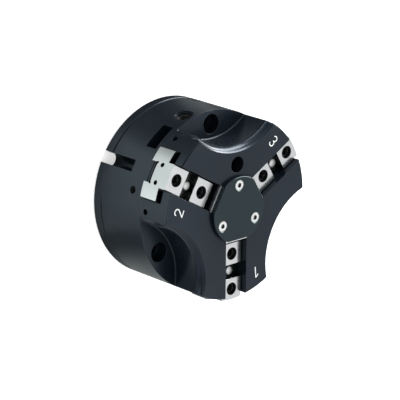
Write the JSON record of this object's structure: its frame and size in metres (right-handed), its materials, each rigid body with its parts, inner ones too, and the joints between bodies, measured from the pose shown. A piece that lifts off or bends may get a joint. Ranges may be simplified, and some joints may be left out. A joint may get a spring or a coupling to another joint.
{
  "type": "three jaw centric gripper",
  "caption": "Round pneumatic centric gripper: a wedge hook piston drives radial jaws with keyed, threaded finger seats in T-slots.",
  "frame": {"origin": "centre of the rear mounting face, on the gripper's axis", "axes": "+Z along the gripper's axis from the rear face towards the jaws; arm 1 points along -Y, arm 2 to 150 degrees and arm 3 to 30 degrees from +X"},
  "size_m": [0.1006, 0.102, 0.0612],
  "materials": {
    "black_anodised": "black anodised, satin",
    "black_cover": "black anodised, matt",
    "jaw_steel": "hardened and ground",
    "hard_steel": "hardened and ground",
    "strip_steel": "rolled spring steel",
    "screw_steel": "zinc plated",
    "piston_aluminium": "turned",
    "seal_rubber": "matt",
    "guide_plastic": "filled PTFE"
  },
  "bodies": {
    "housing": {"housing": "black_anodised", "guide_block_1": "black_anodised", "guide_block_2": "black_anodised", "guide_block_3": "black_anodised", "rear_cover": "black_anodised", "rear_cover_screws": "screw_steel", "rear_cover_pins": "hard_steel", "rear_cover_oring": "seal_rubber", "direct_port_screws": "screw_steel", "direct_port_orings": "seal_rubber", "rod_seal": "seal_rubber", "front_cover": "black_cover", "front_cover_screws": "screw_steel", "slot_strip_1": "strip_steel", "slot_strip_2": "strip_steel", "slot_strip_3": "strip_steel"},
    "piston": {"piston_disc": "piston_aluminium", "piston_seal": "seal_rubber", "piston_guide_ring": "guide_plastic", "piston_oring": "seal_rubber", "piston_screw": "screw_steel", "wedge_hook": "hard_steel"},
    "jaw_1": {"jaw_1": "jaw_steel", "jaw_pin_1": "hard_steel"},
    "jaw_2": {"jaw_2": "jaw_steel", "jaw_pin_2": "hard_steel"},
    "jaw_3": {"jaw_3": "jaw_steel", "jaw_pin_3": "hard_steel"}
  },
  "joints": [
    {"name": "piston_slide", "type": "slide", "parent": "housing", "child": "piston", "axis": [0, 0, 1], "range_m": [-0.004, 0.008]},
    {"name": "jaw_1_slide", "type": "slide", "parent": "housing", "child": "jaw_1", "axis": [0, -1, 0], "range_m": [-0.002, 0.004]},
    {"name": "jaw_2_slide", "type": "slide", "parent": "housing", "child": "jaw_2", "axis": [-0.866, 0.5, 0], "range_m": [-0.002, 0.004]},
    {"name": "jaw_3_slide", "type": "slide", "parent": "housing", "child": "jaw_3", "axis": [0.866, 0.5, 0], "range_m": [-0.002, 0.004]}
  ],
  "couplings": [
    {"joint": "jaw_1_slide", "follows": "piston_slide", "ratio": 0.5},
    {"joint": "jaw_2_slide", "follows": "piston_slide", "ratio": 0.5},
    {"joint": "jaw_3_slide", "follows": "piston_slide", "ratio": 0.5}
  ]
}
